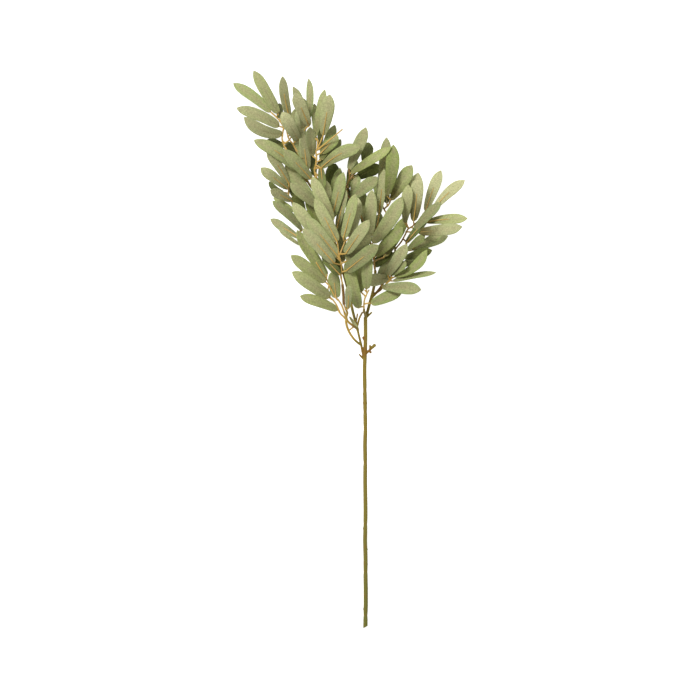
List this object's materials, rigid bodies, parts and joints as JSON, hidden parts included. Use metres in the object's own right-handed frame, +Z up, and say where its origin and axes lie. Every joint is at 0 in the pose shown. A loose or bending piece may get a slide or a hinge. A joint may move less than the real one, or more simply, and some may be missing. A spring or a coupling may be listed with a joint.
{
  "type": "willow stem",
  "caption": "Leafy willow stem lying flat: a long cut stem that forks into arms, each arm carrying a spray of long narrow grey-green leaves.",
  "frame": {"origin": "on the surface the stem lies on, under the middle of its bounding box", "axes": "+Y from the cut end to the leaf tips, +X to the right as the leaves face up, +Z up"},
  "size_m": [0.3528, 0.8378, 0.143],
  "materials": {
    "leaf": "matt woven leaf cloth, sage green with a yellow-green edge",
    "twig": "matt moulded twig and leaf rib, tan",
    "stem": "matt bark, olive brown"
  },
  "bodies": {
    "root": {"main_stem": "stem", "spray_upper_left": "leaf", "spray_upper_middle": "leaf", "spray_top": "leaf", "spray_middle_left": "leaf", "spray_middle": "leaf", "spray_middle_back": "leaf", "spray_middle_front": "leaf", "spray_east": "leaf", "spray_right_top": "leaf", "spray_right_middle": "leaf", "spray_right": "leaf", "spray_lower_right": "leaf", "spray_centre": "leaf", "spray_lower_left": "leaf", "spray_left": "leaf"}
  },
  "joints": []
}
